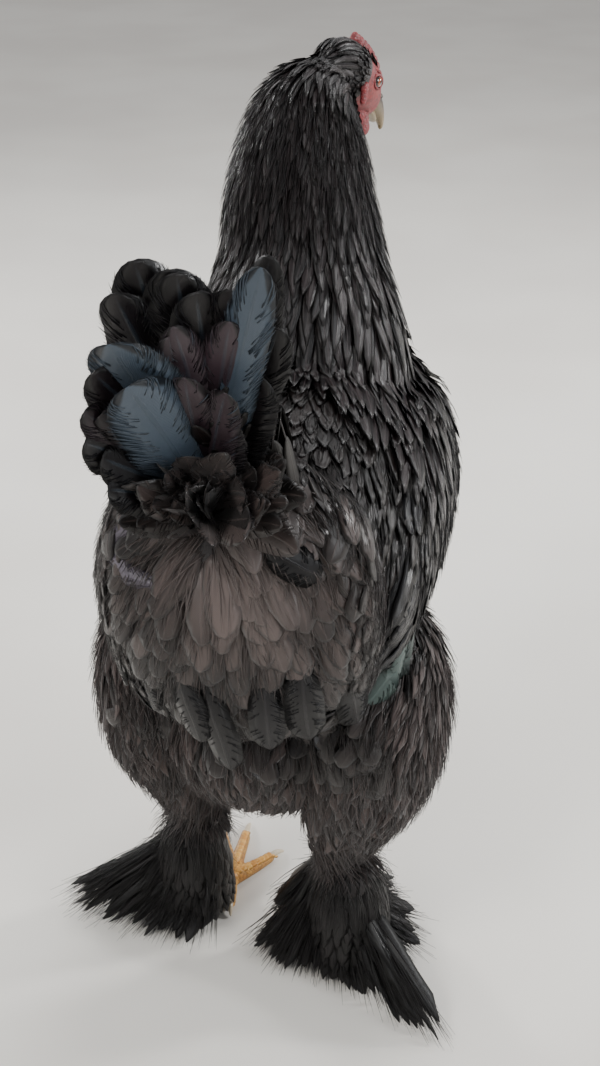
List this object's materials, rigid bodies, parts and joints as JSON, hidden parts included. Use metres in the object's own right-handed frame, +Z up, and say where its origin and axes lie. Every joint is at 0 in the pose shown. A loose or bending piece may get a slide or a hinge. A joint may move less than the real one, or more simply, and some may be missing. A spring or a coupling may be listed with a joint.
{
  "type": "brahma hen",
  "caption": "Standing black feather-legged hen as a still, life-size display model, head turned to its right, resting on its own feet.",
  "frame": {"origin": "on the floor, under the middle of the bird's bounding box", "axes": "+X to the hen's left, -Y the way its body faces, +Y to its tail, +Z up from the floor it stands on"},
  "size_m": [0.3239, 0.409, 0.5978],
  "materials": {
    "plumage": "near-black body feathers with a soft brown tint and a dull satin gloss on the vane faces",
    "flight_feathers": "near-black wing and tail vanes with a blue-grey satin sheen, dark rims and a raised shaft",
    "down": "matt, soft brown-grey down of the thighs and the belly",
    "red_skin": "bare red skin of the face, comb, lobes and wattles, finely pebbled, slightly moist",
    "eye": "wet, clear gloss over a reddish-brown iris and a black pupil",
    "horn": "dark horn paling to yellowish horn at the edges and tips, satin",
    "leg_scales": "yellow-ochre leg scales with dusty seams, satin"
  },
  "bodies": {
    "root": {"head": "red_skin", "eye_left": "eye", "eye_right": "eye", "beak_upper": "horn", "beak_lower": "horn", "earlobe_left": "red_skin", "earlobe_right": "red_skin", "wattle_left": "red_skin", "wattle_right": "red_skin", "comb": "red_skin", "neck": "plumage", "cushion": "plumage", "wing_left": "flight_feathers", "wing_right": "flight_feathers", "tail": "flight_feathers", "torso": "plumage", "thigh_left": "down", "thigh_right": "down", "belly": "down", "foot_left": "leg_scales", "claw_left_inner": "horn", "claw_left_middle": "horn", "claw_left_outer": "horn", "claw_left_back": "horn", "shank_left": "leg_scales", "foot_right": "leg_scales", "claw_right_inner": "horn", "claw_right_middle": "horn", "claw_right_outer": "horn", "claw_right_back": "horn", "shank_right": "leg_scales"}
  },
  "joints": []
}
